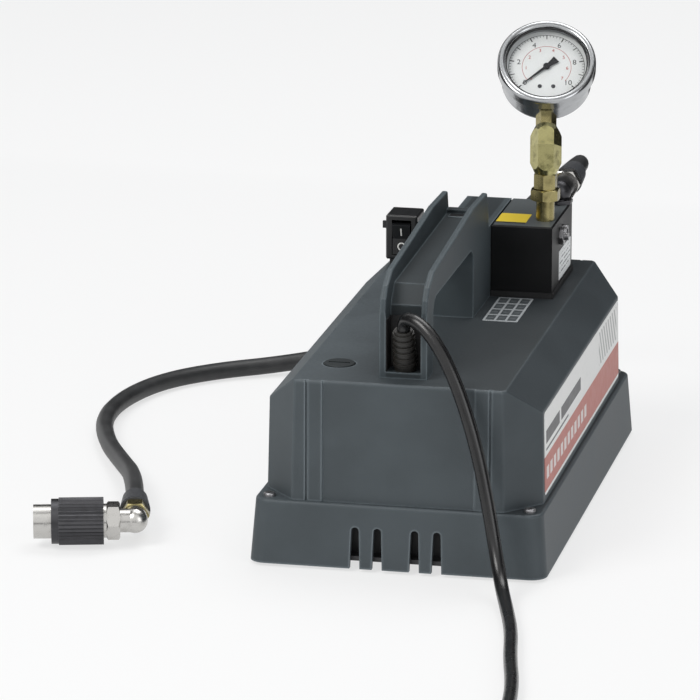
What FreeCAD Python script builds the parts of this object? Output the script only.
import FreeCAD, Part
import math
import os

# Electric hydraulic pump: a two-piece moulded housing with a carry handle, an oil tank, a
# brushed motor that drives a two-piston pump, a steel valve block with a tilted pressure
# gauge, an outlet hose with a quick coupler, and a mains cord with its plug.
# Millimetres, +Z up. The origin is on the floor under the middle of the housing.
# The front, where the cord leaves and the vent slots are, faces -Y.

Vector = FreeCAD.Vector
ALONG_X = Vector(1, 0, 0)
ALONG_Y = Vector(0, 1, 0)
ALONG_Z = Vector(0, 0, 1)

# ---- Clearances ------------------------------------------------------------------------------
RUNNING_FIT = 0.05          # radial, a shaft or piston in its bore
LOOSE_FIT = 0.5             # radial, a screw or a cap in its hole
PANEL_GAP = 0.3             # between mouldings

# ---- Lower skirt -----------------------------------------------------------------------------
SKIRT_WIDTH = 200.0
SKIRT_LENGTH = 373.0
SKIRT_TOP = 45.0            # height of the ledge above the floor
SKIRT_DRAFT = 3.3           # how far each wall leans in over its height
SKIRT_CORNER = 11.0
FLOOR_GAP = 2.0             # under the skirt's lower edge
WALL = 3.5

# ---- Upper shroud ----------------------------------------------------------------------------
LEDGE = 3.4                 # step in from the skirt's top edge
SHROUD_TOP = 127.0
SHROUD_DRAFT = 1.7
FACET_X = 22.0              # corner facets, seen from above
FACET_Y = 25.0
ROOF_SLOPE = 22.3           # width of the sloping strip along each long side
ROOF_DROP = 19.0            # how far the long roof slopes fall
EDGE_ROUND = 2.0
LIP_DEPTH = 3.0             # lip that drops into the skirt
LIP_THICKNESS = 2.0

# ---- Mouldings on the end faces --------------------------------------------------------------
PANEL_HALF = 51.0           # half width of the sunk middle panel
PANEL_DEPTH = 1.2
GROOVE_AT = 61.5
GROOVE_WIDTH = 1.6
SLOT_PITCHES = (-27.5, -12.5, 12.5, 27.5)
SLOT_WIDTH = 5.2
SLOT_FLARE = 0.9            # each side, at the slot's open lower end
SLOT_TOP = 30.0

# ---- Chassis plate, feet and cover screws ----------------------------------------------------
PLATE_BOTTOM = 6.0
PLATE_THICKNESS = 3.0
PLATE_MARGIN = 1.5
FOOT_RADIUS = 10.0
FOOT_STEM = 4.0
FOOT_TAPER = 1.5
FOOT_BARB = 1.2
FOOT_BARB_HEIGHT = 2.4
FOOT_INSET_X = 20.0
FOOT_INSET_Y = 20.5
POST_RADIUS = 4.5
SCREW_INSET = 12.5          # from the skirt's lower outline
SCREW_RADIUS = 2.0
SCREW_HEAD_RADIUS = 4.0
SCREW_HEAD_HEIGHT = 2.6
SCREW_SOCKET = 3.0
SCREW_LENGTH = 14.0

# ---- Oil tank --------------------------------------------------------------------------------
TANK_SIDE_GAP = 5.8         # between tank and shroud
TANK_FRONT_GAP = 6.3
TANK_BACK = -12.0
TANK_ROOF_GAP = 19.0        # between tank lid and roof
TANK_WALL = 2.5
TANK_CORNER = 20.0
LID_THICKNESS = 4.0
GASKET_THICKNESS = 1.5
TANK_SCREW_INSET = 9.0
FILLER_X = -49.0
FILLER_Y = -133.0
FILLER_CAP_RADIUS = 10.5
NECK_BORE = 8.0
NECK_WALL = 3.0
FILLER_THREAD_LENGTH = 7.5
SEAL_SECTION = 1.0
CAP_HEAD_THICKNESS = 4.4
CAP_SLOT_HALF = 7.35
SUCTION_RADIUS = 5.0
SUCTION_WALL = 1.2
STRAINER_RADIUS = 8.0
STRAINER_LENGTH = 15.0
SUCTION_X = 46.0
SUCTION_HEIGHT = 22.0

# ---- Carry handle ----------------------------------------------------------------------------
HANDLE_HALF = 16.0          # half width over the two cheeks
CHEEK = 4.2
CHEEK_ROUND = 1.3           # on both top edges of each cheek
HANDLE_FRONT = -162.0
FRONT_LEG = 20.0
TOWER_FRONT = 0.0
TOWER_BACK = 144.0
TOWER_TOP = 178.0
GRIP_BOTTOM = 177.0
CHANNEL_FLOOR = 185.0
HANDLE_EDGE = ((-162.0, 172.0), (-160.0, 180.0), (-154.0, 187.5), (-138.0, 195.0), (-66.0, 200.0),
               (0.0, 205.0), (48.5, 204.0))
HANDLE_END = 56.0
END_WALL_TOP = 192.0        # low wall behind the channel
OPENING_ROUND = 12.0
TOWER_WALL = 4.0

# ---- Motor and pump shaft --------------------------------------------------------------------
SHAFT_Y = 103.0
SHAFT_Z = 62.0
SHAFT_RADIUS = 6.0
MOTOR_RADIUS = 46.0
CAN_WALL = 3.0
MOTOR_SIDE_GAP = 5.8        # between motor and shroud
BRUSH_BELL_LENGTH = 26.0
CAN_END = 8.0
END_WALL = 3.0
BELL_HOLES = 6
BELL_HOLE_RADIUS = 5.0
BRUSH_GUIDE_WALL = 1.0
BRUSH_SPRING_ROOM = 4.0
BEARING_RADIUS = 11.0
BEARING_WIDTH = 7.0
AIR_GAP = 2.5               # between armature and magnets
ARMATURE_SETBACK = 10.0      # from the can's open end
ARMATURE_END = -14.0
ARMATURE_SLOTS = 12
WINDING_LENGTH = 9.0
MAGNET_THICKNESS = 7.5
MAGNET_ANGLE = 130.0
COMMUTATOR_RADIUS = 13.0
COMMUTATOR_LENGTH = 11.0
BRUSH_WIDTH = 7.0
BRUSH_LENGTH = 16.0
FAN_INSET = 8.0             # fan tip inside the can's outline
FAN_BLADES = 9
FAN_WIDTH = 8.0

# ---- Pump ------------------------------------------------------------------------------------
PUMP_FRONT = 75.0
PUMP_BACK = 131.0
PUMP_LEFT = 18.0
PUMP_RIGHT = 72.0
PUMP_SHOULDER = 112.0
NECK_MARGIN = 2.0           # pump's neck inside the valve block's outline
CHAMBER_RADIUS = 20.0
CHAMBER_END = 62.0
ECCENTRICITY = 1.5
ECCENTRIC_RADIUS = 12.0
CAM_RING_RADIUS = 16.0
CAM_START = 27.0
CAM_END = 60.0
LOW_PISTON_X = 35.0
LOW_PISTON_RADIUS = 7.0
HIGH_PISTON_X = 55.0
HIGH_PISTON_RADIUS = 4.0
PISTON_FOOT = 2.5
PISTON_FOOT_LIP = 2.5
SPRING_POCKET_TOP = 34.0    # above the shaft's axis
PISTON_LENGTH = 28.0
SPRING_WIRE = 0.9
SPRING_TURNS = 4.0

# ---- Valve block -----------------------------------------------------------------------------
BLOCK_LEFT = 16.5
BLOCK_RIGHT = 59.5
BLOCK_FRONT = 63.0
BLOCK_BACK = 144.5
BLOCK_TOP = 178.0
BLOCK_GASKET = 4.0
BOLT_RADIUS = 3.0
BOLT_HEAD_RADIUS = 4.5
BOLT_HEAD_HEIGHT = 5.0
BOLT_INSET_X = 10.0
BOLT_INSET_Y = 7.0
BOLT_GRIP = 12.0            # how far the bolts reach into the valve block
PORT_RADIUS = 2.0
PORT_DEPTH = 11.0
PLUG_RADIUS = 5.5
PLUG_HEIGHT = 3.0
PLUG_SHOULDER = 1.3
RELIEF_Y = 96.5
SPARE_PORT_Y = 108.7
SIDE_PORT_Z = 164.0

# ---- Gauge and its riser ---------------------------------------------------------------------
RISER_X = 50.5
RISER_Y = 85.4
RISER_RADIUS = 6.4
RISER_HEIGHT = 14.5
RISER_HEX = 19.0
RISER_HEX_HEIGHT = 8.0
LOCK_NUT_HEX = 15.0
LOCK_NUT_HEIGHT = 11.0
ELBOW_HEX = 19.0
ELBOW_THREAD = 5.0
ELBOW_LEG = 19.0
ELBOW_ARM = 15.0
ELBOW_END = 7.8              # radius of its turned ends
ELBOW_CONE = 0.45            # slope of its turned ends
GAUGE_STEM_HEX = 12.5
GAUGE_STEM_LENGTH = 14.0
GAUGE_TILT = 45.0
GAUGE_TURN = 10.0
CASE_RADIUS = 31.5
CASE_WALL = 1.6
CASE_BACK = -13.0
CASE_FRONT = 11.0
BEZEL_RADIUS = 34.5
BEZEL_BORE = 29.0
BEZEL_FRONT = 16.0
DIAL_LEVEL = 8.0
DIAL_THICKNESS = 1.0
BEZEL_BACK = 6.8
BEZEL_ROLL = 2.4
LENS_THICKNESS = 2.0
NEEDLE_LENGTH = 22.0
NEEDLE_TAIL = 9.0
NEEDLE_WIDTH = 2.0
NEEDLE_TIP = 0.5
NEEDLE_TAIL_WIDTH = 5.6
NEEDLE_THICKNESS = 0.6
NEEDLE_HUB = 2.4
NEEDLE_LIFT = 0.8
ARBOR_RADIUS = 0.9
NEEDLE_ZERO = 221.0         # degrees anticlockwise from the dial's right-hand side
BOURDON_RADIUS = 19.0
BOURDON_TUBE = 3.0
BOURDON_SWEEP = 260.0
GAUGE_NECK_RADIUS = 5.0

# ---- Switch ----------------------------------------------------------------------------------
SWITCH_LEFT = -73.0
SWITCH_RIGHT = -50.0
SWITCH_FRONT = 132.0
SWITCH_DEPTH = 26.0
SWITCH_BOTTOM = 131.5
SWITCH_TOP = 164.0
SWITCH_EAR = 2.5
SWITCH_ROUND = 1.5
SWITCH_EAR_HEIGHT = 5.0
ROCKER_HALF_WIDTH = 6.5
ROCKER_HALF_HEIGHT = 11.0
ROCKER_REACH = 9.5
ROCKER_VALLEY = 7.5
ROCKER_PIVOT_DEPTH = 8.0
ROCKER_TILT = 8.0
ROCKER_GAP = 0.6
PIVOT_RADIUS = 1.5
PIVOT_REACH = 1.5           # into the box on each side

# ---- Mains cord ------------------------------------------------------------------------------
CORD_RADIUS = 4.5
BOOT_Y = -155.0
BOOT_LENGTH = 27.0
BOOT_BASE_RADIUS = 7.2
BOOT_TIP_RADIUS = 6.0
BOOT_TILT = 14.0
BOOT_RIBS = 6
BOOT_FOOT = 3.0
CORD_SEAT = 2.0
CORD_ROUTE = (
    (0.6, -163.5, 166.0), (4.5, -168.5, 170.0), (13.0, -174.0, 169.0), (24.0, -180.5, 160.5),
    (35.0, -186.5, 145.0), (46.0, -192.0, 122.0), (56.5, -197.0, 91.0), (65.0, -202.5, 56.0),
    (72.0, -211.0, 26.5), (79.5, -229.5, 8.5), (88.0, -258.0, 4.9), (99.0, -302.0, 4.9),
    (107.0, -351.0, 4.9), (118.0, -402.0, 4.9), (124.0, -453.0, 4.9), (121.5, -500.0, 4.9),
)
COIL_RADIUS = 50.0
COIL_X = 172.0
COIL_Y = -535.0
COIL_BOTTOM = 1.6
COIL_SECTION = 19.0
COIL_ROUND = 4.0
PLUG_LENGTH = 40.0
PLUG_WIDTH = 26.0
PLUG_DEPTH = 24.0
PLUG_BOOT = 26.0
PLUG_ROUND = 4.0
BLADE_PITCH = 12.7
BLADE_WIDTH = 6.3
BLADE_THICKNESS = 1.5
BLADE_LENGTH = 17.0
EARTH_PIN_RADIUS = 2.4

# ---- Outlet hose -----------------------------------------------------------------------------
HOSE_RADIUS = 6.35
OUTLET_X = 52.0
OUTLET_Y = 137.0
OUTLET_RISE = 8.5           # height of the elbow's arm over the block
OUTLET_COLLAR = 3.0
OUTLET_HEX = 17.0
OUTLET_BODY = 7.5
OUTLET_ARM = 20.0
ELBOW_SWELL = 0.6           # how far an elbow's ball stands out of its arms
NUT_HEX = 19.0
NUT_LENGTH = 10.0
SLEEVE_RADIUS = 10.0
SLEEVE_LENGTH = 30.0
SLEEVE_RIBS = 7
RIB_HEIGHT = 1.0
HOSE_SEAT = 5.0
HOSE_ROUTE = (
    (52.0, 226.0, 186.5), (45.0, 258.0, 178.5), (29.0, 284.0, 162.0), (6.0, 297.0, 138.5),
    (-27.0, 300.0, 103.0), (-62.0, 299.0, 66.0), (-100.0, 295.0, 34.0), (-142.0, 288.0, 14.5),
    (-186.0, 276.0, 7.6), (-228.0, 252.0, 6.8), (-261.0, 215.0, 6.8), (-277.0, 163.0, 6.8),
    (-277.0, 107.0, 6.8), (-259.0, 51.0, 6.8), (-234.0, -2.0, 9.2), (-211.0, -54.0, 14.6),
)
HOSE_END = (-195.5, -113.7, 16.0)
COUPLER_LENGTH = 58.0
COUPLER_RADIUS = 11.5
COUPLER_HEX_LENGTH = 9.0
KNURL_DEPTH = 0.8
COLLAR_LIP = 5.0
COLLAR_RADIUS = 16.0
COLLAR_LENGTH = 30.0
COLLAR_KNURLS = 36
COUPLER_BORE = 8.5
COUPLER_BORE_DEPTH = 14.0
END_HEX = 17.0
END_HEX_LENGTH = 12.0
END_ELBOW_RADIUS = 8.0
END_ELBOW_LEG = 10.0

# ---- Values that follow from the sizes above -------------------------------------------------
PLATE_TOP = PLATE_BOTTOM + PLATE_THICKNESS
LEDGE_UNDERSIDE = SKIRT_TOP - WALL
SHROUD_HALF_WIDTH = SKIRT_WIDTH / 2 - SKIRT_DRAFT - LEDGE
SHROUD_HALF_LENGTH = SKIRT_LENGTH / 2 - SKIRT_DRAFT - LEDGE
ROOF_FLAT = SHROUD_HALF_WIDTH - ROOF_SLOPE
ROOF_UNDERSIDE = SHROUD_TOP - WALL
FOOT_X = SKIRT_WIDTH / 2 - FOOT_INSET_X
FOOT_Y = SKIRT_LENGTH / 2 - FOOT_INSET_Y
SCREW_X = SKIRT_WIDTH / 2 - SCREW_INSET
SCREW_Y = SKIRT_LENGTH / 2 - SCREW_INSET
TANK_HALF_WIDTH = SHROUD_HALF_WIDTH - WALL - TANK_SIDE_GAP
TANK_FRONT = WALL + TANK_FRONT_GAP - SHROUD_HALF_LENGTH
LID_TOP = ROOF_UNDERSIDE - TANK_ROOF_GAP
LID_BOTTOM = LID_TOP - LID_THICKNESS
TANK_TOP = LID_BOTTOM - GASKET_THICKNESS
TANK_HEIGHT = TANK_TOP - PLATE_TOP
NECK_TOP = ROOF_UNDERSIDE - 2 * SEAL_SECTION
BLOCK_BOTTOM = SHROUD_TOP + BLOCK_GASKET
BRUSH_END = MOTOR_SIDE_GAP + WALL - SHROUD_HALF_WIDTH
CAN_START = BRUSH_END + BRUSH_BELL_LENGTH
ARMATURE_START = CAN_START + ARMATURE_SETBACK
CAN_BORE = MOTOR_RADIUS - CAN_WALL
ARMATURE_RADIUS = CAN_BORE - MAGNET_THICKNESS - AIR_GAP
FAN_RADIUS = MOTOR_RADIUS - FAN_INSET
PISTON_REST = CAM_RING_RADIUS + ECCENTRICITY + RUNNING_FIT
SHAFT_CENTRE = Vector(0, SHAFT_Y, SHAFT_Z)

OVERRUN = 1.0               # how far a cutting tool runs past the face it cuts
NUT_CONE = 1.7              # slope of the turned corners on a nut
EDGE_TOLERANCE = 0.01       # for finding an edge by its place
ARC_SHARE = 0.45            # part of a straight run that each bend may use


# ---- Building blocks -------------------------------------------------------------------------
def box(x0, x1, y0, y1, z0, z1):
    """A box between two corners."""
    return Part.makeBox(x1 - x0, y1 - y0, z1 - z0, Vector(x0, y0, z0))


def rod(start, direction, radius, length):
    """A round bar."""
    return Part.makeCylinder(radius, length, start, direction)


def tube(start, direction, outer, inner, length):
    """A round pipe."""
    return rod(start, direction, outer, length).cut(rod(start, direction, inner, length))


def prism(corners, travel):
    """A closed outline pushed along a vector."""
    outline = Part.makePolygon(list(corners) + [corners[0]])
    return Part.Face(outline).extrude(travel)


def placed(shape, origin, x_axis, y_axis, z_axis):
    """A shape drawn about the origin, moved onto another set of axes."""
    moved = shape.copy()
    turn = FreeCAD.Rotation(x_axis, y_axis, z_axis, "ZYX")
    moved.Placement = FreeCAD.Placement(origin, turn).multiply(shape.Placement)
    return moved


def across(direction):
    """Two unit vectors square to a direction and to each other."""
    helper = ALONG_Z if abs(direction.z) < 0.9 else ALONG_X
    side = direction.cross(helper).normalize()
    return side, side.cross(direction).normalize()


def hexagon(start, direction, flats, length, corner_way=None):
    """A hexagonal bar, with one of its corners on the side given."""
    side = across(direction)[0] if corner_way is None else corner_way
    other = side.cross(direction).normalize()
    corner = flats / math.sqrt(3)
    corners = []
    for step in range(6):
        angle = math.radians(60 * step)
        corners.append(start + side * (corner * math.cos(angle)) + other * (corner * math.sin(angle)))
    return prism(corners, direction * length)


def chamfered_hexagon(start, direction, flats, length):
    """A hexagonal nut with its corners turned down at both ends."""
    end = start + direction * length
    face_radius = flats / 2
    reach = 2 * length
    first = Part.makeCone(face_radius, face_radius + NUT_CONE * reach, reach, start, direction)
    second = Part.makeCone(face_radius, face_radius + NUT_CONE * reach, reach, end, direction * -1)
    return hexagon(start, direction, flats, length).common(first).common(second)


def octagon(half_x, half_y, cut_x, cut_y, z):
    """A rectangle with its four corners cut off, as a wire."""
    corners = [
        Vector(-half_x + cut_x, -half_y, z), Vector(half_x - cut_x, -half_y, z),
        Vector(half_x, -half_y + cut_y, z), Vector(half_x, half_y - cut_y, z),
        Vector(half_x - cut_x, half_y, z), Vector(-half_x + cut_x, half_y, z),
        Vector(-half_x, half_y - cut_y, z), Vector(-half_x, -half_y + cut_y, z),
    ]
    return Part.makePolygon(corners + [corners[0]])


def rounded_rectangle(half_x, half_y, radius, z):
    """A rectangle with round corners, as a wire."""
    edges = []
    turns = ((1, -1), (1, 1), (-1, 1), (-1, -1))
    for index, (sign_x, sign_y) in enumerate(turns):
        centre = Vector(sign_x * (half_x - radius), sign_y * (half_y - radius), z)
        start_angle = math.radians(-90 + 90 * index)
        points = [centre + Vector(radius * math.cos(start_angle + share * math.pi / 2),
                                  radius * math.sin(start_angle + share * math.pi / 2), 0)
                  for share in (0, 0.5, 1)]
        edges.append((points, Part.Arc(*points).toShape()))
    closed = []
    for index, (points, arc) in enumerate(edges):
        following = edges[(index + 1) % len(edges)][0]
        closed.append(arc)
        closed.append(Part.makeLine(points[2], following[0]))
    return Part.Wire(closed)


def loft(*wires):
    """A solid through flat outlines, with straight sides."""
    return Part.makeLoft(list(wires), True, True)


def fused(pieces):
    """Several touching shapes as one solid."""
    whole = pieces[0].fuse(list(pieces[1:])) if len(pieces) > 1 else pieces[0]
    return whole.removeSplitter()


def mirrored_four(x, y):
    """Four places, one in each quarter of the housing."""
    return [(sign_x * x, sign_y * y) for sign_x in (-1, 1) for sign_y in (-1, 1)]


# ---- Housing ---------------------------------------------------------------------------------
def shroud_form(shrink, bottom, top):
    """The shroud's outer form, moved inwards by a wall thickness."""
    corner_share = 2 - math.sqrt(2)
    cut_x = FACET_X - shrink * corner_share
    cut_y = FACET_Y - shrink * corner_share
    half_width = SHROUD_HALF_WIDTH - shrink
    half_length = SHROUD_HALF_LENGTH - shrink
    lower = octagon(half_width, half_length, cut_x, cut_y, bottom)
    upper = octagon(half_width - SHROUD_DRAFT, half_length - SHROUD_DRAFT, cut_x, cut_y, top)
    flat = ROOF_FLAT - shrink * math.tan(math.radians(22.5))
    slope = ROOF_DROP / (SHROUD_HALF_WIDTH - SHROUD_DRAFT - ROOF_FLAT)
    reach = SKIRT_WIDTH
    fall = slope * (reach - flat)
    section = [
        Vector(-reach, -SKIRT_LENGTH, bottom - fall), Vector(reach, -SKIRT_LENGTH, bottom - fall),
        Vector(reach, -SKIRT_LENGTH, top - fall), Vector(flat, -SKIRT_LENGTH, top),
        Vector(-flat, -SKIRT_LENGTH, top), Vector(-reach, -SKIRT_LENGTH, top - fall),
    ]
    return loft(lower, upper).common(prism(section, Vector(0, 2 * SKIRT_LENGTH, 0)))


def skirt_form(shrink, bottom, top):
    """The skirt's outer form, moved inwards by a wall thickness."""
    half_width = SKIRT_WIDTH / 2 - shrink
    half_length = SKIRT_LENGTH / 2 - shrink
    corner = SKIRT_CORNER - shrink
    low = rounded_rectangle(half_width, half_length, corner, bottom)
    high = rounded_rectangle(half_width - SKIRT_DRAFT, half_length - SKIRT_DRAFT, corner, top)
    return loft(low, high)


def lip_outline(shrink, bottom, top):
    """The upright form of the shroud's lip, which the skirt's mouth follows."""
    inset = WALL / 2 + shrink
    outline = octagon(SHROUD_HALF_WIDTH - inset, SHROUD_HALF_LENGTH - inset, FACET_X, FACET_Y, bottom)
    return Part.Face(outline).extrude(Vector(0, 0, top - bottom))


def vent_slot(x, y_start, y_end):
    """One tapering slot, open at the skirt's lower edge and round at its top."""
    half = SLOT_WIDTH / 2
    low = half + SLOT_FLARE
    corners = [
        Vector(x - low, y_start, 0), Vector(x + low, y_start, 0),
        Vector(x + half, y_start, SLOT_TOP - half), Vector(x - half, y_start, SLOT_TOP - half),
    ]
    depth = y_end - y_start
    round_top = rod(Vector(x, y_start, SLOT_TOP - half), ALONG_Y, half, depth)
    return prism(corners, Vector(0, depth, 0)).fuse(round_top)


def make_base_skirt():
    """The lower moulding, with a ledge that carries the shroud."""
    outer = skirt_form(0, FLOOR_GAP, SKIRT_TOP)
    ledge_edges = [edge for edge in outer.Edges if edge.BoundBox.ZMin > SKIRT_TOP - EDGE_TOLERANCE]
    outer = outer.makeFillet(EDGE_ROUND, ledge_edges)
    hollow = skirt_form(WALL, FLOOR_GAP, LEDGE_UNDERSIDE)
    mouth = lip_outline(-PANEL_GAP, LEDGE_UNDERSIDE - OVERRUN, SKIRT_TOP + OVERRUN)
    skirt = outer.cut(hollow).cut(mouth)
    half_length = SKIRT_LENGTH / 2
    for x in SLOT_PITCHES:
        skirt = skirt.cut(vent_slot(x, -half_length - OVERRUN, -half_length + 3 * WALL))
        skirt = skirt.cut(vent_slot(x, half_length - 3 * WALL, half_length + OVERRUN))
    for x, y in mirrored_four(SCREW_X, SCREW_Y):
        skirt = skirt.cut(rod(Vector(x, y, LEDGE_UNDERSIDE - OVERRUN), ALONG_Z,
                              SCREW_RADIUS + LOOSE_FIT, WALL + 2 * OVERRUN))
    return skirt


def make_shroud():
    """The upper moulding: faceted corners, sloping roof edges and a locating lip."""
    outer = shroud_form(0, SKIRT_TOP, SHROUD_TOP)
    sharp = [edge for edge in outer.Edges if edge.BoundBox.ZMax > SKIRT_TOP + OVERRUN]
    outer = outer.makeFillet(EDGE_ROUND, sharp)
    for side in (-1, 1):
        sunk = outer.cut(outer.translated(Vector(0, -side * PANEL_DEPTH, 0)))
        near = side * SHROUD_HALF_LENGTH
        y0, y1 = sorted((near - side * FACET_Y / 2, near + side * OVERRUN))
        panel = sunk.common(box(-PANEL_HALF, PANEL_HALF, y0, y1, SKIRT_TOP, SHROUD_TOP))
        outer = outer.cut(panel)
        for x in (-GROOVE_AT, GROOVE_AT):
            strip = box(x - GROOVE_WIDTH / 2, x + GROOVE_WIDTH / 2, y0, y1, SKIRT_TOP, SHROUD_TOP)
            outer = outer.cut(sunk.common(strip))
    shroud = outer.cut(shroud_form(WALL, SKIRT_TOP, ROOF_UNDERSIDE))
    lip_bottom = SKIRT_TOP - LIP_DEPTH
    lip_top = SKIRT_TOP + WALL
    lip = lip_outline(0, lip_bottom, lip_top).cut(lip_outline(LIP_THICKNESS, lip_bottom, lip_top))
    shroud = fused([shroud, lip])
    shroud = shroud.cut(rod(Vector(FILLER_X, FILLER_Y, ROOF_UNDERSIDE - OVERRUN), ALONG_Z,
                            FILLER_CAP_RADIUS + LOOSE_FIT, WALL + 2 * OVERRUN))
    neck = pump_neck(PANEL_GAP + LOOSE_FIT, ROOF_UNDERSIDE - OVERRUN, SHROUD_TOP + OVERRUN)
    return shroud.cut(neck)


def pump_neck(grow, bottom, top):
    """The rectangular neck that joins the pump to the valve block."""
    return box(BLOCK_LEFT + NECK_MARGIN - grow, BLOCK_RIGHT - NECK_MARGIN + grow,
               BLOCK_FRONT + NECK_MARGIN - grow, BLOCK_BACK - NECK_MARGIN + grow, bottom, top)


def make_base_plate():
    """The chassis plate with four posts that take the cover screws."""
    share = (PLATE_TOP - FLOOR_GAP) / (LEDGE_UNDERSIDE - FLOOR_GAP)
    inset = WALL + SKIRT_DRAFT * share + PLATE_MARGIN
    corner = SKIRT_CORNER - WALL
    outline = rounded_rectangle(SKIRT_WIDTH / 2 - inset, SKIRT_LENGTH / 2 - inset, corner, PLATE_BOTTOM)
    plate = Part.Face(outline).extrude(Vector(0, 0, PLATE_THICKNESS))
    posts = [rod(Vector(x, y, PLATE_TOP), ALONG_Z, POST_RADIUS, LEDGE_UNDERSIDE - PLATE_TOP)
             for x, y in mirrored_four(SCREW_X, SCREW_Y)]
    plate = fused([plate] + posts)
    for x, y in mirrored_four(SCREW_X, SCREW_Y):
        plate = plate.cut(rod(Vector(x, y, PLATE_TOP + OVERRUN), ALONG_Z, SCREW_RADIUS, LEDGE_UNDERSIDE))
    for x, y in mirrored_four(FOOT_X, FOOT_Y):
        plate = plate.cut(rod(Vector(x, y, 0), ALONG_Z, FOOT_STEM + RUNNING_FIT, PLATE_TOP + OVERRUN))
    return plate


def make_rubber_feet():
    """Four push-in feet."""
    feet = []
    barb_start = PLATE_TOP + RUNNING_FIT
    for x, y in mirrored_four(FOOT_X, FOOT_Y):
        pad = Part.makeCone(FOOT_RADIUS - FOOT_TAPER, FOOT_RADIUS, PLATE_BOTTOM, Vector(x, y, 0), ALONG_Z)
        stem = rod(Vector(x, y, 0), ALONG_Z, FOOT_STEM, barb_start)
        barb = Part.makeCone(FOOT_STEM + FOOT_BARB, FOOT_STEM - FOOT_BARB, FOOT_BARB_HEIGHT,
                             Vector(x, y, barb_start), ALONG_Z)
        feet.append(fused([pad, stem, barb]))
    return Part.makeCompound(feet)


def pan_head_screw(x, y, seat):
    """One pan-head screw with a hexagon socket; the housing and the tank use the same one."""
    head = rod(Vector(x, y, seat), ALONG_Z, SCREW_HEAD_RADIUS, SCREW_HEAD_HEIGHT)
    rim = [edge for edge in head.Edges if edge.BoundBox.ZMin > seat + SCREW_HEAD_HEIGHT - EDGE_TOLERANCE]
    head = head.makeFillet(SCREW_HEAD_HEIGHT / 2, rim)
    shank = rod(Vector(x, y, seat - SCREW_LENGTH), ALONG_Z, SCREW_RADIUS - RUNNING_FIT, SCREW_LENGTH)
    socket_floor = Vector(x, y, seat + SCREW_HEAD_HEIGHT / 3)
    socket = hexagon(socket_floor, ALONG_Z, SCREW_SOCKET, SCREW_HEAD_HEIGHT)
    return fused([head, shank]).cut(socket)


def make_cover_screws():
    """Four screws through the skirt's ledge and six in the tank's lid."""
    screws = [pan_head_screw(x, y, SKIRT_TOP) for x, y in mirrored_four(SCREW_X, SCREW_Y)]
    screws += [pan_head_screw(x, y, LID_TOP) for x, y in tank_screw_places()]
    return Part.makeCompound(screws)


# ---- Carry handle ----------------------------------------------------------------------------
def side_view(points, half_width):
    """A solid drawn from the side, as deep as twice the half width."""
    corners = [Vector(-half_width, y, z) for y, z in points]
    return prism(corners, Vector(2 * half_width, 0, 0))


def on_handle_edge(edge):
    """Whether an edge runs along the top of a cheek."""
    def is_corner(vertex):
        return any(abs(vertex.Y - y) < EDGE_TOLERANCE and abs(vertex.Z - z) < EDGE_TOLERANCE
                   for y, z in HANDLE_EDGE)
    return edge.BoundBox.XLength < EDGE_TOLERANCE and all(is_corner(item) for item in edge.Vertexes)


def make_carry_handle():
    """The open-topped channel grip, its front leg and the hollow tower behind the finger gap."""
    edge = list(HANDLE_EDGE)
    rear_drop = [(HANDLE_END, TOWER_TOP), (TOWER_BACK, TOWER_TOP), (TOWER_BACK, SHROUD_TOP)]
    outline = [(HANDLE_FRONT, SHROUD_TOP)] + edge + rear_drop
    body = side_view(outline, HANDLE_HALF)
    leg_back = HANDLE_FRONT + FRONT_LEG
    gap = box(-HANDLE_HALF - OVERRUN, HANDLE_HALF + OVERRUN, leg_back, TOWER_FRONT,
              SHROUD_TOP - OVERRUN, GRIP_BOTTOM)
    gap_corners = [item for item in gap.Edges
                   if item.BoundBox.XLength > HANDLE_HALF and item.BoundBox.ZMin > SHROUD_TOP]
    body = body.cut(gap.makeFillet(OPENING_ROUND, gap_corners))
    inner_half = HANDLE_HALF - CHEEK
    web_face = leg_back - CHEEK
    top = BLOCK_TOP + SHROUD_TOP
    end_wall = HANDLE_EDGE[-1][0] - CHEEK
    behind = HANDLE_END + OVERRUN
    channel = [(HANDLE_FRONT - OVERRUN, SHROUD_TOP + CHEEK), (web_face, SHROUD_TOP + CHEEK),
               (web_face, CHANNEL_FLOOR - OPENING_ROUND), (web_face + OPENING_ROUND, CHANNEL_FLOOR),
               (end_wall, CHANNEL_FLOOR + CHEEK), (end_wall, END_WALL_TOP), (behind, END_WALL_TOP),
               (behind, top), (HANDLE_FRONT - OVERRUN, top)]
    body = body.cut(side_view(channel, inner_half))
    body = body.makeFillet(CHEEK_ROUND, [item for item in body.Edges if on_handle_edge(item)])
    hollow = box(-HANDLE_HALF + TOWER_WALL, HANDLE_HALF - TOWER_WALL, TOWER_FRONT + TOWER_WALL,
                 TOWER_BACK - TOWER_WALL, SHROUD_TOP - OVERRUN, TOWER_TOP - TOWER_WALL)
    return body.cut(hollow)


# ---- Oil tank --------------------------------------------------------------------------------
def tank_outline(shrink, bottom, top):
    """The tank's plan, with its front corners cut to follow the shroud."""
    left = -TANK_HALF_WIDTH + shrink
    right = TANK_HALF_WIDTH - shrink
    front = TANK_FRONT + shrink
    back = TANK_BACK - shrink
    corners = [
        Vector(left + TANK_CORNER, front, bottom), Vector(right - TANK_CORNER, front, bottom),
        Vector(right, front + TANK_CORNER, bottom), Vector(right, back, bottom),
        Vector(left, back, bottom), Vector(left, front + TANK_CORNER, bottom),
    ]
    return prism(corners, Vector(0, 0, top - bottom))


def tank_screw_places():
    """Where the lid's screws stand."""
    x = TANK_HALF_WIDTH - TANK_SCREW_INSET
    front = TANK_FRONT + TANK_CORNER + TANK_SCREW_INSET
    back = TANK_BACK - TANK_SCREW_INSET
    return [(-x, front), (x, front), (-x, back), (x, back), (0, TANK_FRONT + TANK_SCREW_INSET), (0, back)]


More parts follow.
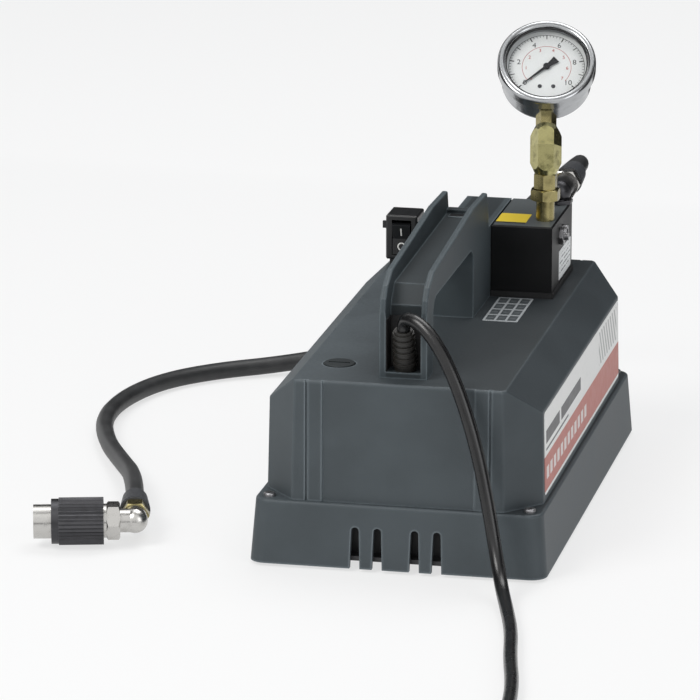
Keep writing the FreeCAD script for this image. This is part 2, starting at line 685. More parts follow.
def make_oil_tank():
    """The open-topped tank with six screw bosses."""
    tank = tank_outline(0, PLATE_TOP, TANK_TOP).cut(tank_outline(TANK_WALL, PLATE_TOP + TANK_WALL, TANK_TOP))
    bosses = []
    for x, y in tank_screw_places():
        reach = TANK_SCREW_INSET
        boss = box(x - reach, x + reach, y - reach, y + reach, TANK_TOP - 3 * reach, TANK_TOP)
        bosses.append(boss.common(tank_outline(0, PLATE_TOP, TANK_TOP)))
    tank = fused([tank] + bosses)
    for x, y in tank_screw_places():
        hole_floor = Vector(x, y, TANK_TOP - 2 * TANK_SCREW_INSET)
        tank = tank.cut(rod(hole_floor, ALONG_Z, SCREW_RADIUS, TANK_HEIGHT))
    pipe_bore = rod(Vector(SUCTION_X, TANK_BACK - 2 * TANK_WALL, SUCTION_HEIGHT), ALONG_Y,
                    SUCTION_RADIUS, 3 * TANK_WALL)
    return tank.cut(pipe_bore)


def lid_holes(bottom):
    """The clearance holes that the lid and its gasket share."""
    holes = [rod(Vector(x, y, bottom - OVERRUN), ALONG_Z, SCREW_RADIUS + LOOSE_FIT, 2 * TANK_SCREW_INSET)
             for x, y in tank_screw_places()]
    holes.append(rod(Vector(FILLER_X, FILLER_Y, bottom - OVERRUN), ALONG_Z, NECK_BORE, TANK_HEIGHT))
    return holes


def make_tank_gasket():
    """The flat gasket between tank and lid."""
    inside = tank_outline(TANK_SCREW_INSET * 2, TANK_TOP, LID_BOTTOM)
    gasket = tank_outline(0, TANK_TOP, LID_BOTTOM).cut(inside)
    for hole in lid_holes(TANK_TOP):
        gasket = gasket.cut(hole)
    return gasket


def make_tank_lid():
    """The lid with its threaded filler neck."""
    lid = tank_outline(0, LID_BOTTOM, LID_TOP)
    neck = rod(Vector(FILLER_X, FILLER_Y, LID_BOTTOM), ALONG_Z, NECK_BORE + NECK_WALL, NECK_TOP - LID_BOTTOM)
    lid = fused([lid, neck])
    for hole in lid_holes(LID_BOTTOM):
        lid = lid.cut(hole)
    return lid


def make_filler_cap():
    """The filler cap, flush with the shroud, with a coin slot in its head."""
    centre = Vector(FILLER_X, FILLER_Y, 0)
    head_bottom = NECK_TOP + 2 * SEAL_SECTION
    head = rod(centre + Vector(0, 0, head_bottom), ALONG_Z, FILLER_CAP_RADIUS, CAP_HEAD_THICKNESS)
    head_top = head_bottom + CAP_HEAD_THICKNESS
    rim = [edge for edge in head.Edges if edge.BoundBox.ZMin > head_top - EDGE_TOLERANCE]
    head = head.makeFillet(SEAL_SECTION, rim)
    stem_length = head_bottom - NECK_TOP + FILLER_THREAD_LENGTH
    stem_bottom = centre + Vector(0, 0, head_bottom - stem_length)
    stem = rod(stem_bottom, ALONG_Z, NECK_BORE - RUNNING_FIT, stem_length)
    slot = box(FILLER_X - CAP_SLOT_HALF, FILLER_X + CAP_SLOT_HALF, FILLER_Y - SEAL_SECTION,
               FILLER_Y + SEAL_SECTION, head_bottom + CAP_HEAD_THICKNESS / 2, SHROUD_TOP + CAP_HEAD_THICKNESS)
    return fused([head, stem]).cut(slot)


def make_filler_seal():
    """The ring that the cap's head squeezes onto the neck."""
    inner = NECK_BORE + PANEL_GAP
    base = Vector(FILLER_X, FILLER_Y, NECK_TOP)
    return tube(base, ALONG_Z, inner + 2 * SEAL_SECTION, inner, 2 * SEAL_SECTION)


def make_suction_pipe():
    """The pipe from the tank to the pump."""
    start = Vector(SUCTION_X, TANK_BACK - 4 * TANK_WALL, SUCTION_HEIGHT)
    return tube(start, ALONG_Y, SUCTION_RADIUS, SUCTION_RADIUS - SUCTION_WALL, PUMP_FRONT - start.y)


def make_intake_strainer():
    """The gauze strainer on the pipe's end inside the tank."""
    start = Vector(SUCTION_X, TANK_BACK - 4 * TANK_WALL - STRAINER_LENGTH, SUCTION_HEIGHT)
    return tube(start, ALONG_Y, STRAINER_RADIUS, SUCTION_RADIUS, STRAINER_LENGTH)


# ---- Motor -----------------------------------------------------------------------------------
def at_x(x):
    """A point on the shaft's axis."""
    return Vector(x, SHAFT_Y, SHAFT_Z)


def make_motor_can():
    """The motor's steel body."""
    return tube(at_x(CAN_START), ALONG_X, MOTOR_RADIUS, CAN_BORE, CAN_END - CAN_START)


def make_field_magnets():
    """Two arc magnets glued inside the can."""
    length = ARMATURE_END - ARMATURE_START
    whole = tube(at_x(ARMATURE_START), ALONG_X, CAN_BORE, CAN_BORE - MAGNET_THICKNESS, length)
    reach = 2 * MOTOR_RADIUS
    lean = math.radians(MAGNET_ANGLE / 2)
    magnets = []
    for side in (-1, 1):
        centre = at_x(ARMATURE_START)
        wide = Vector(0, reach * math.sin(lean), side * reach * math.cos(lean))
        narrow = Vector(0, -wide.y, wide.z)
        corners = [centre, centre + wide, centre + Vector(0, 0, 2 * side * reach), centre + narrow]
        magnets.append(whole.common(prism(corners, Vector(length, 0, 0))))
    return Part.makeCompound(magnets)


def bearing_starts():
    """Where the shaft's three bearings begin along X."""
    return (BRUSH_END + END_WALL, CAN_END, CHAMBER_END)


def bearing_seat(start):
    """The pocket that one bearing fills."""
    return rod(at_x(start), ALONG_X, BEARING_RADIUS, BEARING_WIDTH)


def make_pump_end_bell():
    """The end cap between motor and pump, with a bearing seat and air holes."""
    bell = rod(at_x(CAN_END), ALONG_X, MOTOR_RADIUS, PUMP_LEFT - CAN_END)
    bell = bell.cut(bearing_seat(CAN_END))
    bell = bell.cut(rod(at_x(CAN_END), ALONG_X, SHAFT_RADIUS + LOOSE_FIT, PUMP_LEFT - CAN_END))
    hole_circle = (MOTOR_RADIUS + CHAMBER_RADIUS) / 2
    for step in range(BELL_HOLES):
        angle = 2 * math.pi * (step + 0.5) / BELL_HOLES
        place = at_x(CAN_END) + Vector(0, hole_circle * math.cos(angle), hole_circle * math.sin(angle))
        bell = bell.cut(rod(place, ALONG_X, BELL_HOLE_RADIUS, PUMP_LEFT - CAN_END))
    return bell


def brush_guides():
    """Two square guides that stand on the cup's inner wall."""
    middle = commutator_start() + COMMUTATOR_LENGTH / 2
    inner = BRUSH_WIDTH / 2 + RUNNING_FIT
    outer = inner + BRUSH_GUIDE_WALL
    holders = []
    for side in (-1, 1):
        near = COMMUTATOR_RADIUS + BRUSH_LENGTH / 3
        y0, y1 = sorted((SHAFT_Y + side * near, SHAFT_Y + side * MOTOR_RADIUS))
        guide = box(middle - outer, middle + outer, y0, y1, SHAFT_Z - outer, SHAFT_Z + outer)
        end = COMMUTATOR_RADIUS + BRUSH_LENGTH + BRUSH_SPRING_ROOM
        c0, c1 = sorted((SHAFT_Y + side * near, SHAFT_Y + side * end))
        guide = guide.cut(box(middle - inner, middle + inner, c0, c1, SHAFT_Z - inner, SHAFT_Z + inner))
        holders.append(guide.common(rod(at_x(middle - 2 * outer), ALONG_X, CAN_BORE, 4 * outer)))
    return holders


def make_brush_end_bell():
    """The cup at the motor's far end, with a bearing seat and two brush guides."""
    bell = rod(at_x(BRUSH_END), ALONG_X, MOTOR_RADIUS, CAN_START - BRUSH_END)
    hollow_start = BRUSH_END + END_WALL + BEARING_WIDTH
    bell = bell.cut(rod(at_x(hollow_start), ALONG_X, CAN_BORE, CAN_START - hollow_start))
    return fused([bell.cut(bearing_seat(BRUSH_END + END_WALL))] + brush_guides())


def make_shaft_bearings():
    """Three ball bearings, each as its outer envelope."""
    bore = SHAFT_RADIUS + RUNNING_FIT
    return Part.makeCompound([tube(at_x(start), ALONG_X, BEARING_RADIUS, bore, BEARING_WIDTH)
                              for start in bearing_starts()])


def cam_centre():
    """The eccentric's centre at its inner end, stored with its high side down."""
    return at_x(CAM_START) - Vector(0, 0, ECCENTRICITY)


def make_eccentric_shaft():
    """The one-piece shaft of motor and pump, with the eccentric turned on it."""
    start = BRUSH_END + END_WALL + PANEL_GAP
    end = CHAMBER_END + BEARING_WIDTH - PANEL_GAP
    eccentric = rod(cam_centre(), ALONG_X, ECCENTRIC_RADIUS, CAM_END - CAM_START)
    return fused([rod(at_x(start), ALONG_X, SHAFT_RADIUS, end - start), eccentric])


def make_armature():
    """The slotted core of the armature."""
    length = ARMATURE_END - ARMATURE_START
    core = tube(at_x(ARMATURE_START), ALONG_X, ARMATURE_RADIUS, SHAFT_RADIUS, length)
    slot_depth = ARMATURE_RADIUS / 3
    slot_width = ARMATURE_RADIUS / 10
    for step in range(ARMATURE_SLOTS):
        slot = box(ARMATURE_START, ARMATURE_END, -slot_width / 2, slot_width / 2,
                   ARMATURE_RADIUS - slot_depth, ARMATURE_RADIUS + OVERRUN)
        slot.rotate(Vector(0, 0, 0), ALONG_X, 360 * step / ARMATURE_SLOTS)
        core = core.cut(slot.translated(SHAFT_CENTRE))
    return core


def make_armature_windings():
    """The copper end turns on both faces of the core."""
    outer = ARMATURE_RADIUS - WINDING_LENGTH / 3
    starts = (ARMATURE_START - WINDING_LENGTH, ARMATURE_END)
    turns = []
    for start in starts:
        turn = tube(at_x(start), ALONG_X, outer, SHAFT_RADIUS, WINDING_LENGTH)
        far = start if start < ARMATURE_START else start + WINDING_LENGTH
        rim = [edge for edge in turn.Edges
               if abs(edge.BoundBox.XMin - far) < EDGE_TOLERANCE and edge.BoundBox.YLength > outer]
        turns.append(turn.makeFillet(WINDING_LENGTH / 3, rim))
    return Part.makeCompound(turns)


def commutator_start():
    """Where the commutator begins along X."""
    return ARMATURE_START - WINDING_LENGTH - COMMUTATOR_LENGTH - OVERRUN


def make_commutator():
    """The copper commutator."""
    return tube(at_x(commutator_start()), ALONG_X, COMMUTATOR_RADIUS, SHAFT_RADIUS, COMMUTATOR_LENGTH)


def make_carbon_brushes():
    """Two carbon brushes on the commutator, front and back."""
    middle = commutator_start() + COMMUTATOR_LENGTH / 2
    half = BRUSH_WIDTH / 2
    face = rod(at_x(middle - BRUSH_WIDTH), ALONG_X, COMMUTATOR_RADIUS + RUNNING_FIT, 2 * BRUSH_WIDTH)
    brushes = []
    for side in (-1, 1):
        near = SHAFT_Y + side * (COMMUTATOR_RADIUS - OVERRUN)
        y0, y1 = sorted((near, SHAFT_Y + side * (COMMUTATOR_RADIUS + BRUSH_LENGTH)))
        block = box(middle - half, middle + half, y0, y1, SHAFT_Z - half, SHAFT_Z + half)
        brushes.append(block.cut(face))
    return Part.makeCompound(brushes)


def make_cooling_fan():
    """The bladed fan on the shaft, next to the pump."""
    start = CAN_END - FAN_WIDTH - 2 * OVERRUN
    hub = SHAFT_RADIUS + FAN_WIDTH / 2
    back = tube(at_x(start), ALONG_X, FAN_RADIUS, SHAFT_RADIUS, OVERRUN)
    pieces = [back, tube(at_x(start), ALONG_X, hub, SHAFT_RADIUS, FAN_WIDTH)]
    for step in range(FAN_BLADES):
        blade = box(start, start + FAN_WIDTH, -OVERRUN / 2, OVERRUN / 2, hub - OVERRUN, FAN_RADIUS - OVERRUN)
        blade.rotate(Vector(0, 0, 0), ALONG_X, 360 * step / FAN_BLADES)
        pieces.append(blade.translated(SHAFT_CENTRE))
    return fused(pieces)


# ---- Pump ------------------------------------------------------------------------------------
def pistons():
    """Each piston's place along the shaft and its radius."""
    return ((LOW_PISTON_X, LOW_PISTON_RADIUS), (HIGH_PISTON_X, HIGH_PISTON_RADIUS))


def spring_pocket_radius(piston_radius):
    """The pocket round a piston's foot and spring."""
    return piston_radius + PISTON_FOOT_LIP + LOOSE_FIT


def make_pump_body():
    """The iron body: cam chamber, bearing seat, piston bores and the neck under the valve block."""
    body = box(PUMP_LEFT, PUMP_RIGHT, PUMP_FRONT, PUMP_BACK, PLATE_TOP, PUMP_SHOULDER)
    body = fused([body, pump_neck(0, PUMP_SHOULDER, SHROUD_TOP)])
    body = body.cut(rod(at_x(PUMP_LEFT), ALONG_X, CHAMBER_RADIUS, CHAMBER_END - PUMP_LEFT))
    body = body.cut(bearing_seat(CHAMBER_END))
    for x, y in bolt_places():
        body = body.cut(rod(Vector(x, y, PUMP_SHOULDER), ALONG_Z, BOLT_RADIUS + LOOSE_FIT,
                            SHROUD_TOP - PUMP_SHOULDER))
    pocket_top = SHAFT_Z + SPRING_POCKET_TOP
    piston_top = SHAFT_Z + PISTON_REST + PISTON_LENGTH
    for x, radius in pistons():
        place = Vector(x, SHAFT_Y, SHAFT_Z)
        body = body.cut(rod(place, ALONG_Z, spring_pocket_radius(radius), SPRING_POCKET_TOP))
        bore_length = piston_top + LOOSE_FIT - SHAFT_Z
        body = body.cut(rod(place, ALONG_Z, radius + RUNNING_FIT, bore_length))
        body = body.cut(rod(place, ALONG_Z, PORT_RADIUS, SHROUD_TOP - SHAFT_Z + OVERRUN))
    body = body.cut(rod(Vector(SUCTION_X, PUMP_FRONT, SUCTION_HEIGHT), ALONG_Y, SUCTION_RADIUS - SUCTION_WALL,
                        SHAFT_Y - PUMP_FRONT))
    return body.cut(rod(Vector(SUCTION_X, SHAFT_Y, SUCTION_HEIGHT), ALONG_Z, SUCTION_RADIUS - SUCTION_WALL,
                        SHAFT_Z - SUCTION_HEIGHT))


def make_cam_ring():
    """The bearing ring that rolls on the eccentric and drives the pistons."""
    return tube(cam_centre(), ALONG_X, CAM_RING_RADIUS, ECCENTRIC_RADIUS, CAM_END - CAM_START)


def make_piston(x, radius):
    """A piston at the top of its stroke, with a foot for its spring."""
    base = Vector(x, SHAFT_Y, SHAFT_Z + PISTON_REST)
    foot = rod(base, ALONG_Z, radius + PISTON_FOOT_LIP, PISTON_FOOT)
    return fused([foot, rod(base, ALONG_Z, radius, PISTON_LENGTH)])


def make_piston_spring(x, radius):
    """The spring between a piston's foot and the top of its pocket."""
    bottom = SHAFT_Z + PISTON_REST + PISTON_FOOT + SPRING_WIRE
    top = SHAFT_Z + SPRING_POCKET_TOP - SPRING_WIRE
    coil_radius = radius + (PISTON_FOOT_LIP + LOOSE_FIT) / 2
    helix = Part.makeHelix((top - bottom) / SPRING_TURNS, top - bottom, coil_radius)
    helix.translate(Vector(x, SHAFT_Y, bottom))
    section = Part.Wire(Part.makeCircle(SPRING_WIRE, Vector(x + coil_radius, SHAFT_Y, bottom), ALONG_Y))
    return Part.Wire(helix.Edges).makePipeShell([section], True, True)


# ---- Valve block -----------------------------------------------------------------------------
def bolt_places():
    """Where the four bolts come up through the pump's flange into the valve block."""
    xs = (BLOCK_LEFT + BOLT_INSET_X, BLOCK_RIGHT - BOLT_INSET_X)
    ys = (BLOCK_FRONT + BOLT_INSET_Y, BLOCK_BACK - BOLT_INSET_Y)
    return [(x, y) for x in xs for y in ys]


def make_block_gasket():
    """The rubber pad under the valve block, which seals the shroud's opening."""
    pad = box(BLOCK_LEFT - PANEL_GAP / 2, BLOCK_RIGHT + OVERRUN, BLOCK_FRONT - OVERRUN, BLOCK_BACK + OVERRUN,
              SHROUD_TOP, BLOCK_BOTTOM)
    for x, y in bolt_places():
        pad = pad.cut(rod(Vector(x, y, SHROUD_TOP), ALONG_Z, BOLT_RADIUS + LOOSE_FIT, BLOCK_GASKET))
    for x, _ in pistons():
        pad = pad.cut(rod(Vector(x, SHAFT_Y, SHROUD_TOP), ALONG_Z, PORT_RADIUS, BLOCK_GASKET))
    return pad


def outlet_port():
    """The floor of the threaded port under the outlet elbow."""
    return Vector(OUTLET_X, OUTLET_Y, BLOCK_TOP - PORT_DEPTH)


def riser_port():
    """The floor of the threaded port under the gauge."""
    return Vector(RISER_X, RISER_Y, BLOCK_TOP - PORT_DEPTH)


def make_valve_block():
    """The steel block with its ports and bolt holes."""
    block = box(BLOCK_LEFT, BLOCK_RIGHT, BLOCK_FRONT, BLOCK_BACK, BLOCK_BOTTOM, BLOCK_TOP)
    block = block.makeChamfer(OVERRUN, [item for item in block.Edges
                                        if item.BoundBox.ZMin > BLOCK_BOTTOM + OVERRUN
                                        and item.BoundBox.ZLength < EDGE_TOLERANCE])
    for x, y in bolt_places():
        block = block.cut(rod(Vector(x, y, BLOCK_BOTTOM), ALONG_Z, BOLT_RADIUS, BOLT_GRIP))
    for port in (riser_port(), outlet_port()):
        block = block.cut(rod(port, ALONG_Z, RISER_RADIUS, PORT_DEPTH))
    for y in (RELIEF_Y, SPARE_PORT_Y):
        block = block.cut(rod(Vector(BLOCK_RIGHT - PORT_DEPTH, y, SIDE_PORT_Z), ALONG_X,
                              PLUG_RADIUS - PLUG_SHOULDER, PORT_DEPTH))
    for x, _ in pistons():
        block = block.cut(rod(Vector(x, SHAFT_Y, BLOCK_BOTTOM), ALONG_Z, PORT_RADIUS, PORT_DEPTH))
    return block


def make_block_bolts():
    """Four socket-head bolts, up through the pump's flange into the valve block."""
    bolts = []
    head_bottom = PUMP_SHOULDER - BOLT_HEAD_HEIGHT
    for x, y in bolt_places():
        head = rod(Vector(x, y, head_bottom), ALONG_Z, BOLT_HEAD_RADIUS, BOLT_HEAD_HEIGHT)
        shank_length = BLOCK_BOTTOM + BOLT_GRIP - PUMP_SHOULDER
        shank = rod(Vector(x, y, PUMP_SHOULDER), ALONG_Z, BOLT_RADIUS, shank_length)
        socket = hexagon(Vector(x, y, head_bottom), ALONG_Z, BOLT_HEAD_RADIUS, BOLT_HEAD_HEIGHT / 2)
        bolts.append(fused([head, shank]).cut(socket))
    return Part.makeCompound(bolts)


def side_plug(y):
    """A socket-head plug screwed into the block's right side."""
    start = Vector(BLOCK_RIGHT, y, SIDE_PORT_Z)
    head = rod(start, ALONG_X, PLUG_RADIUS, PLUG_HEIGHT)
    rim = [edge for edge in head.Edges if edge.BoundBox.XMin > BLOCK_RIGHT + PLUG_HEIGHT - EDGE_TOLERANCE]
    head = head.makeFillet(OVERRUN / 2, rim)
    shank = rod(start - Vector(PORT_DEPTH, 0, 0), ALONG_X, PLUG_RADIUS - PLUG_SHOULDER, PORT_DEPTH)
    socket = hexagon(start + Vector(PLUG_HEIGHT / 3, 0, 0), ALONG_X, PLUG_RADIUS, PLUG_HEIGHT)
    return fused([head, shank]).cut(socket)


def make_relief_valve():
    """The pressure relief cartridge with its adjusting nut."""
    start = Vector(BLOCK_RIGHT, RELIEF_Y, SIDE_PORT_Z)
    nut = chamfered_hexagon(start, ALONG_X, 2 * PLUG_RADIUS, PLUG_HEIGHT)
    shank = rod(start - Vector(PORT_DEPTH, 0, 0), ALONG_X, PLUG_RADIUS - PLUG_SHOULDER, PORT_DEPTH)
    stem = rod(start, ALONG_X, PLUG_RADIUS / 2, 2 * PLUG_HEIGHT)
    return fused([nut, shank, stem])


# ---- Gauge -----------------------------------------------------------------------------------
def gauge_axes():
    """The gauge's own axes: right, up across the dial, and out of the dial."""
    tilt = math.radians(GAUGE_TILT)
    turn = math.radians(GAUGE_TURN)
    out = Vector(math.sin(turn) * math.cos(tilt), -math.cos(turn) * math.cos(tilt), math.sin(tilt))
    up = Vector(-math.sin(turn) * math.sin(tilt), math.cos(turn) * math.sin(tilt), math.cos(tilt))
    return up.cross(out), up, out


def elbow_corner():
    """Where the gauge elbow's two bores meet."""
    height = RISER_HEIGHT + RISER_HEX_HEIGHT + LOCK_NUT_HEIGHT + ELBOW_LEG
    return Vector(RISER_X, RISER_Y, BLOCK_TOP + height)


def gauge_centre():
    """The middle of the gauge's case."""
    _, up, _ = gauge_axes()
    return elbow_corner() + up * (ELBOW_ARM + GAUGE_STEM_LENGTH + CASE_RADIUS)


def on_gauge(shape):
    """A shape drawn with the dial facing +Z and its top at +Y, moved to the gauge."""
    return placed(shape, gauge_centre(), *gauge_axes())


def lathe(profile):
    """A closed (radius, height) outline turned about the Z axis."""
    corners = [Vector(radius, 0, height) for radius, height in profile]
    outline = Part.makePolygon(corners + [corners[0]])
    return Part.Face(outline).revolve(Vector(0, 0, 0), ALONG_Z, 360)


def make_gauge_riser():
    """The brass riser screwed into the block's top."""
    stem = rod(riser_port(), ALONG_Z, RISER_RADIUS, PORT_DEPTH + RISER_HEIGHT)
    collar_bottom = Vector(RISER_X, RISER_Y, BLOCK_TOP + RISER_HEIGHT)
    collar = chamfered_hexagon(collar_bottom, ALONG_Z, RISER_HEX, RISER_HEX_HEIGHT)
    riser = fused([stem, collar])
    return riser.cut(rod(riser_port(), ALONG_Z, PORT_RADIUS, PORT_DEPTH + RISER_HEIGHT + RISER_HEX_HEIGHT))


def lock_nut_bottom():
    """The top of the riser, where the lock nut sits."""
    return Vector(RISER_X, RISER_Y, BLOCK_TOP + RISER_HEIGHT + RISER_HEX_HEIGHT)


def make_gauge_lock_nut():
    """The dark nut that locks the elbow's direction."""
    nut = chamfered_hexagon(lock_nut_bottom(), ALONG_Z, LOCK_NUT_HEX, LOCK_NUT_HEIGHT)
    return nut.cut(rod(lock_nut_bottom(), ALONG_Z, ELBOW_THREAD, LOCK_NUT_HEIGHT))


def elbow_run(free_end, inward, length):
    """One hexagonal run of the gauge elbow, past its corner, with its free end turned down."""
    right, _, _ = gauge_axes()
    reach = length + ELBOW_HEX
    turned = Part.makeCone(ELBOW_END, ELBOW_END + ELBOW_CONE * reach, reach, free_end, inward)
    return hexagon(free_end, inward, ELBOW_HEX, reach, right).common(turned)


def make_gauge_elbow():
    """The plated 45 degree elbow under the gauge, two hexagonal runs that meet in a mitre."""
    right, up, _ = gauge_axes()
    thread = rod(lock_nut_bottom(), ALONG_Z, ELBOW_THREAD, LOCK_NUT_HEIGHT + OVERRUN)
    leg = elbow_run(lock_nut_bottom() + Vector(0, 0, LOCK_NUT_HEIGHT), ALONG_Z, ELBOW_LEG)
    arm = elbow_run(elbow_corner() + up * ELBOW_ARM, up * -1, ELBOW_ARM)
    mitre = (ALONG_Z + up).normalize()
    reach = 2 * ELBOW_HEX
    above = placed(box(-reach, reach, -reach, reach, 0, 2 * reach), elbow_corner(), right,
                   mitre.cross(right), mitre)
    return fused([thread, leg.cut(above), arm.common(above)])


def make_gauge_stem():
    """The gauge's brass connection, with wrench flats below the case and a socket inside it."""
    bottom = -CASE_RADIUS - GAUGE_STEM_LENGTH
    flats_length = GAUGE_STEM_LENGTH - (BEZEL_RADIUS - CASE_RADIUS) - LOOSE_FIT
    flats = hexagon(Vector(0, bottom, 0), ALONG_Y, GAUGE_STEM_HEX, flats_length)
    neck = rod(Vector(0, bottom, 0), ALONG_Y, GAUGE_NECK_RADIUS, GAUGE_STEM_LENGTH + 3 * CASE_WALL)
    socket_top = -BOURDON_RADIUS + BOURDON_TUBE
    socket_bottom = -CASE_RADIUS + 2 * CASE_WALL
    socket = box(-GAUGE_NECK_RADIUS, GAUGE_NECK_RADIUS, socket_bottom, socket_top,
                 -GAUGE_NECK_RADIUS, GAUGE_NECK_RADIUS)
    return on_gauge(fused([flats, neck, socket]).cut(bourdon_ring()))


def bourdon_ring():
    """The curved tube in the gauge's own axes."""
    ring = Part.makeTorus(BOURDON_RADIUS, BOURDON_TUBE, Vector(0, 0, 0), ALONG_Z, 0, 360, BOURDON_SWEEP)
    ring.rotate(Vector(0, 0, 0), ALONG_Z, -90)
    return ring


def make_bourdon_tube():
    """The curved tube that straightens under pressure."""
    return on_gauge(bourdon_ring())


def make_gauge_case():
    """The polished steel cup of the gauge."""
    cup = rod(Vector(0, 0, CASE_BACK), ALONG_Z, CASE_RADIUS, CASE_FRONT - CASE_BACK)
    rim = [edge for edge in cup.Edges if edge.BoundBox.ZMax < CASE_BACK + EDGE_TOLERANCE]
    cup = cup.makeFillet(2 * CASE_WALL, rim)
    floor = Vector(0, 0, CASE_BACK + CASE_WALL)
    inside = rod(floor, ALONG_Z, CASE_RADIUS - CASE_WALL, CASE_FRONT - CASE_BACK)
    hole = rod(Vector(0, -CASE_RADIUS - OVERRUN, 0), ALONG_Y, GAUGE_NECK_RADIUS + RUNNING_FIT, 3 * CASE_WALL)
    return on_gauge(cup.cut(inside).cut(hole))


def make_gauge_bezel():
    """The rolled ring that holds the lens on the case."""
    inner = CASE_RADIUS + RUNNING_FIT
    lens_top = CASE_FRONT + LENS_THICKNESS + RUNNING_FIT
    profile = [
        (BEZEL_BORE, lens_top), (BEZEL_BORE, BEZEL_FRONT), (BEZEL_RADIUS, BEZEL_FRONT),
        (BEZEL_RADIUS, BEZEL_BACK), (inner, BEZEL_BACK), (inner, lens_top),
    ]
    ring = lathe(profile)
    rims = [edge for edge in ring.Edges if edge.BoundBox.ZMin > BEZEL_FRONT - EDGE_TOLERANCE]
    return on_gauge(ring.makeFillet(BEZEL_ROLL, rims))


def make_gauge_dial():
    """The dial plate with a hole for the needle's arbor."""
    dial_radius = CASE_RADIUS - CASE_WALL - RUNNING_FIT
    disc = rod(Vector(0, 0, DIAL_LEVEL - DIAL_THICKNESS), ALONG_Z, dial_radius, DIAL_THICKNESS)
    return on_gauge(disc.cut(rod(Vector(0, 0, 0), ALONG_Z, ARBOR_RADIUS + PANEL_GAP, DIAL_LEVEL)))


def make_gauge_needle():
    """The needle, stored at zero, with its tail, hub and arbor."""
    level = DIAL_LEVEL + NEEDLE_LIFT
    pointer = [Vector(0, -NEEDLE_WIDTH / 2, level), Vector(NEEDLE_LENGTH, -NEEDLE_TIP / 2, level),
               Vector(NEEDLE_LENGTH, NEEDLE_TIP / 2, level), Vector(0, NEEDLE_WIDTH / 2, level)]
    tail = [Vector(0, NEEDLE_WIDTH / 2, level), Vector(-NEEDLE_TAIL, NEEDLE_TAIL_WIDTH / 2, level),
            Vector(-NEEDLE_TAIL, -NEEDLE_TAIL_WIDTH / 2, level), Vector(0, -NEEDLE_WIDTH / 2, level)]
    thickness = Vector(0, 0, NEEDLE_THICKNESS)
    hub = rod(Vector(0, 0, level), ALONG_Z, NEEDLE_HUB, 2 * NEEDLE_THICKNESS)
    arbor = rod(Vector(0, 0, BOURDON_TUBE), ALONG_Z, ARBOR_RADIUS, level - BOURDON_TUBE)
    needle = fused([prism(pointer, thickness), prism(tail, thickness), hub, arbor])
    needle.rotate(Vector(0, 0, 0), ALONG_Z, NEEDLE_ZERO)
    return on_gauge(needle)


def make_gauge_lens():
    """The clear lens."""
    return on_gauge(rod(Vector(0, 0, CASE_FRONT), ALONG_Z, CASE_RADIUS - PANEL_GAP, LENS_THICKNESS))


# ---- Switch ----------------------------------------------------------------------------------
def switch_middle():
    """The rocker's pivot."""
    return Vector((SWITCH_LEFT + SWITCH_RIGHT) / 2, SWITCH_FRONT + ROCKER_PIVOT_DEPTH,
                  (SWITCH_BOTTOM + SWITCH_TOP) / 2)


def make_switch_box():
    """The switch's box on its foot, with a grip ear on each side."""
    back = SWITCH_FRONT + SWITCH_DEPTH
    shell = box(SWITCH_LEFT, SWITCH_RIGHT, SWITCH_FRONT, back, SWITCH_BOTTOM, SWITCH_TOP)
    shell = shell.makeFillet(SWITCH_ROUND, shell.Edges)
    foot = box(SWITCH_LEFT + SWITCH_EAR, SWITCH_RIGHT - SWITCH_EAR, SWITCH_FRONT + SWITCH_EAR,
               back - SWITCH_EAR, SHROUD_TOP, SWITCH_BOTTOM + OVERRUN)
    ear_top = SWITCH_TOP - SWITCH_EAR_HEIGHT
    ears = box(SWITCH_LEFT - SWITCH_EAR, SWITCH_RIGHT + SWITCH_EAR, SWITCH_FRONT + SWITCH_ROUND,
               SWITCH_FRONT + SWITCH_ROUND + SWITCH_EAR, ear_top - SWITCH_EAR_HEIGHT, ear_top)
    middle = switch_middle()
    tilt = math.radians(ROCKER_TILT)
    half_height = ROCKER_HALF_HEIGHT * math.cos(tilt) + ROCKER_REACH * math.sin(tilt) + ROCKER_GAP
    half_width = ROCKER_HALF_WIDTH + ROCKER_GAP
    window = box(middle.x - half_width, middle.x + half_width, SWITCH_FRONT - OVERRUN,
                 middle.y + ROCKER_VALLEY, middle.z - half_height, middle.z + half_height)
    return fused([shell, foot, ears]).cut(window).cut(rocker_pivot(RUNNING_FIT, PANEL_GAP))


def rocker_pivot(grow, longer):
    """The rocker's pivot pin, or with clearances its holes in the box."""
    half_length = ROCKER_HALF_WIDTH + ROCKER_GAP + PIVOT_REACH + longer
    start = switch_middle() - ALONG_X * half_length
    return rod(start, ALONG_X, PIVOT_RADIUS + grow, 2 * half_length)


def make_switch_rocker():
    """The rocker, stored in its off position."""
    back = ROCKER_VALLEY / 2
    outline = [(-ROCKER_REACH, ROCKER_HALF_HEIGHT), (-ROCKER_VALLEY, 0), (-ROCKER_REACH, -ROCKER_HALF_HEIGHT),
               (-back, -ROCKER_HALF_HEIGHT), (back, -back), (back, back), (-back, ROCKER_HALF_HEIGHT)]
    rocker = side_view(outline, ROCKER_HALF_WIDTH)
    rocker.rotate(Vector(0, 0, 0), ALONG_X, ROCKER_TILT)
    return fused([rocker.translated(switch_middle()), rocker_pivot(0, 0)])


